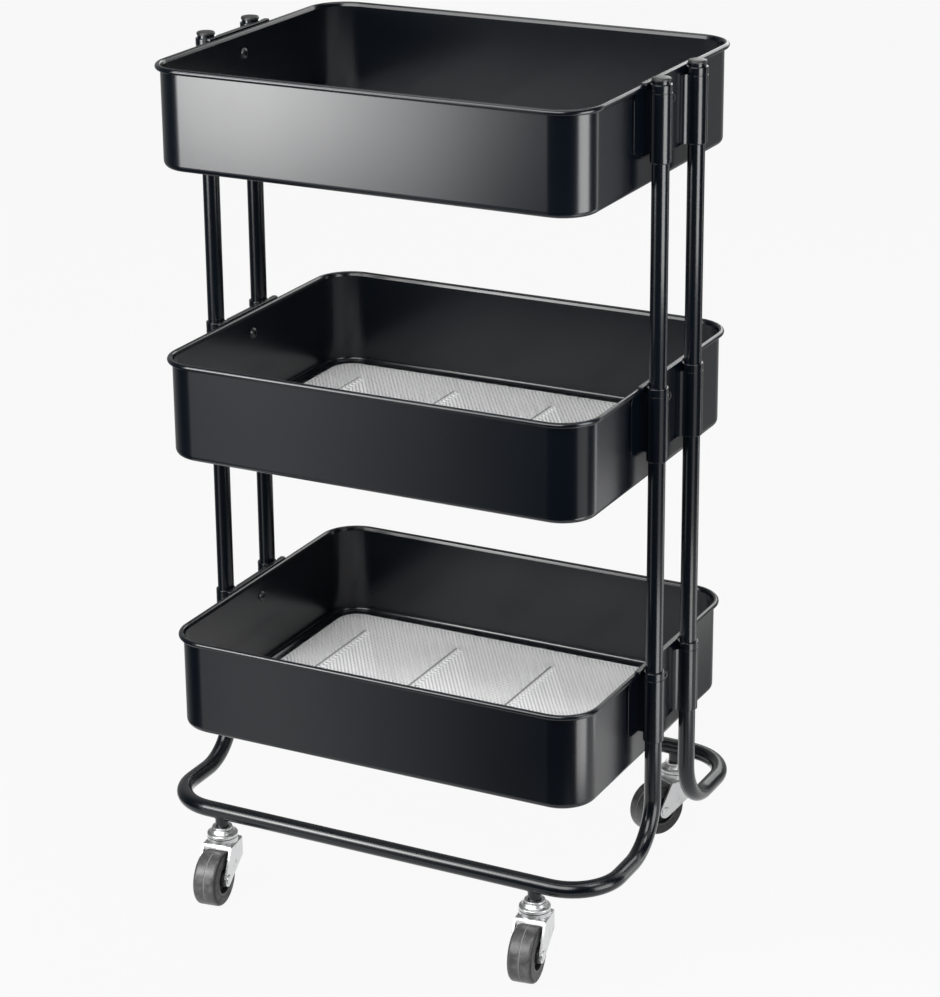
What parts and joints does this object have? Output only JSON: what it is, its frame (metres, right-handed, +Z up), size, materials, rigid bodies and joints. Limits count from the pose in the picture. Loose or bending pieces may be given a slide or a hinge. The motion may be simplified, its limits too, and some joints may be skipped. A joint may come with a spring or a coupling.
{
  "type": "rolling basket cart",
  "caption": "Tall rolling cart: open sheet-steel baskets with mesh floors on jointed tube posts, over a bent-tube base that runs on swivel casters.",
  "frame": {"origin": "on the floor under the middle of the cart", "axes": "+X along the baskets' length to the right, +Y from the front to the back, +Z up"},
  "size_m": [0.4534, 0.4012, 0.7728],
  "materials": {
    "black_powder_coat": "semi-gloss black powder coat on steel",
    "light_grey_mesh": "satin light grey coat on expanded steel mesh",
    "blackened_steel": "dark plated steel, satin",
    "zinc_plated_steel": "bright zinc plating on pressed steel",
    "black_plastic": "moulded black plastic, satin",
    "grey_hub_plastic": "moulded dark grey plastic",
    "dark_grey_tyre": "hard dark grey tread, matt with light scuffing"
  },
  "bodies": {
    "cart_frame": {"top_basket": "black_powder_coat", "top_floor_mesh": "light_grey_mesh", "top_bracket_right": "black_powder_coat", "top_bracket_left": "black_powder_coat", "middle_basket": "black_powder_coat", "middle_floor_mesh": "light_grey_mesh", "middle_bracket_right": "black_powder_coat", "middle_bracket_left": "black_powder_coat", "bottom_basket": "black_powder_coat", "bottom_floor_mesh": "light_grey_mesh", "bottom_bracket_right": "black_powder_coat", "bottom_bracket_left": "black_powder_coat", "basket_screws": "blackened_steel", "basket_nuts": "blackened_steel", "base_tube_front": "black_powder_coat", "lower_post_front_left": "black_powder_coat", "upper_post_front_left": "black_powder_coat", "post_cap_front_left": "black_plastic", "lower_post_front_right": "black_powder_coat", "upper_post_front_right": "black_powder_coat", "post_cap_front_right": "black_plastic", "base_tube_rear": "black_powder_coat", "lower_post_rear_left": "black_powder_coat", "upper_post_rear_left": "black_powder_coat", "post_cap_rear_left": "black_plastic", "lower_post_rear_right": "black_powder_coat", "upper_post_rear_right": "black_powder_coat", "post_cap_rear_right": "black_plastic", "stem_bosses": "black_powder_coat", "caster_stem_front_left": "zinc_plated_steel", "caster_top_cup_front_left": "zinc_plated_steel", "caster_stem_front_right": "zinc_plated_steel", "caster_top_cup_front_right": "zinc_plated_steel", "caster_stem_rear_left": "zinc_plated_steel", "caster_top_cup_rear_left": "zinc_plated_steel", "caster_stem_rear_right": "zinc_plated_steel", "caster_top_cup_rear_right": "zinc_plated_steel"},
    "fork_front_left": {"caster_fork_front_left": "zinc_plated_steel", "caster_axle_front_left": "zinc_plated_steel", "caster_balls_front_left": "zinc_plated_steel"},
    "wheel_front_left": {"caster_hub_front_left": "grey_hub_plastic", "caster_tyre_front_left": "dark_grey_tyre"},
    "fork_front_right": {"caster_fork_front_right": "zinc_plated_steel", "caster_axle_front_right": "zinc_plated_steel", "caster_balls_front_right": "zinc_plated_steel"},
    "wheel_front_right": {"caster_hub_front_right": "grey_hub_plastic", "caster_tyre_front_right": "dark_grey_tyre"},
    "fork_rear_left": {"caster_fork_rear_left": "zinc_plated_steel", "caster_axle_rear_left": "zinc_plated_steel", "caster_balls_rear_left": "zinc_plated_steel"},
    "wheel_rear_left": {"caster_hub_rear_left": "grey_hub_plastic", "caster_tyre_rear_left": "dark_grey_tyre"},
    "fork_rear_right": {"caster_fork_rear_right": "zinc_plated_steel", "caster_axle_rear_right": "zinc_plated_steel", "caster_balls_rear_right": "zinc_plated_steel"},
    "wheel_rear_right": {"caster_hub_rear_right": "grey_hub_plastic", "caster_tyre_rear_right": "dark_grey_tyre"}
  },
  "joints": [
    {"name": "swivel_front_left", "type": "hinge", "parent": "cart_frame", "child": "fork_front_left", "pos_m": [-0.158, -0.153, 0.067], "axis": [0, 0, 1], "continuous": true},
    {"name": "roll_front_left", "type": "hinge", "parent": "fork_front_left", "child": "wheel_front_left", "pos_m": [-0.15494, -0.17479, 0.025], "axis": [0.9903, 0.1392, 0], "continuous": true},
    {"name": "swivel_front_right", "type": "hinge", "parent": "cart_frame", "child": "fork_front_right", "pos_m": [0.158, -0.153, 0.067], "axis": [0, 0, 1], "continuous": true},
    {"name": "roll_front_right", "type": "hinge", "parent": "fork_front_right", "child": "wheel_front_right", "pos_m": [0.16106, -0.17479, 0.025], "axis": [0.9903, 0.1392, 0], "continuous": true},
    {"name": "swivel_rear_left", "type": "hinge", "parent": "cart_frame", "child": "fork_rear_left", "pos_m": [-0.158, 0.153, 0.067], "axis": [0, 0, 1], "continuous": true},
    {"name": "roll_rear_left", "type": "hinge", "parent": "fork_rear_left", "child": "wheel_rear_left", "pos_m": [-0.16106, 0.17479, 0.025], "axis": [-0.9903, -0.1392, 0], "continuous": true},
    {"name": "swivel_rear_right", "type": "hinge", "parent": "cart_frame", "child": "fork_rear_right", "pos_m": [0.158, 0.153, 0.067], "axis": [0, 0, 1], "continuous": true},
    {"name": "roll_rear_right", "type": "hinge", "parent": "fork_rear_right", "child": "wheel_rear_right", "pos_m": [0.14767, 0.13357, 0.025], "axis": [0.8829, -0.4695, 0], "continuous": true}
  ]
}
